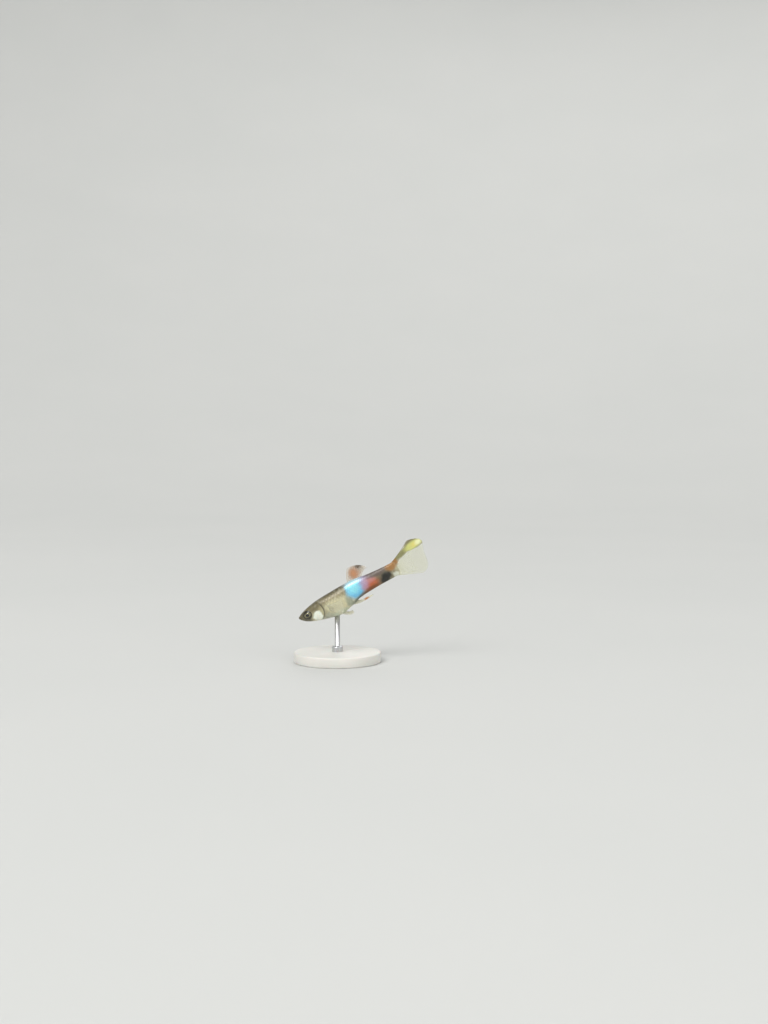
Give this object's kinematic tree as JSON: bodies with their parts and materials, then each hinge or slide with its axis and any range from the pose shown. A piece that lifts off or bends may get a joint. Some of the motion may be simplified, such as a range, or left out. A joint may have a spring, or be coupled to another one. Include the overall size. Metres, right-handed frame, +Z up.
{
  "type": "male endler's livebearer fish model on a display stand",
  "caption": "Still life-size model of a small male livebearer fish, head down, with blue, orange and black flanks and a short yellow tail sword, on a rod and a round foot.",
  "frame": {"origin": "centre of the underside of the stand's round foot", "axes": "+X from the fish's snout towards its tail, +Z up, -Y the fish's left side, which the picture shows"},
  "size_m": [0.0232, 0.015, 0.0212],
  "materials": {
    "head_skin": "moist, dusky olive-tan skin",
    "belly_skin": "moist, silvery beige scales",
    "blue_skin": "iridescent sky-blue scales",
    "orange_skin": "moist orange-red scales with black spots",
    "eye": "clear, wet, black pupil",
    "dorsal_fin": "orange-tinted fin membrane",
    "tail_fin": "clear fin membrane with a yellow upper lobe",
    "clear_fin": "clear fin membrane",
    "stand_base": "satin off-white acrylic",
    "stand_rod": "fine brushed steel"
  },
  "bodies": {
    "root": {"head": "head_skin", "trunk_front": "belly_skin", "trunk_rear": "blue_skin", "tail_stalk": "orange_skin", "eye_left": "eye", "eye_right": "eye", "dorsal_fin": "dorsal_fin", "tail_fin": "tail_fin", "gonopodium": "clear_fin", "pectoral_fin_left": "clear_fin", "pectoral_fin_right": "clear_fin", "pelvic_fin_left": "clear_fin", "pelvic_fin_right": "clear_fin", "stand_base": "stand_base", "stand_rod": "stand_rod"}
  },
  "joints": []
}
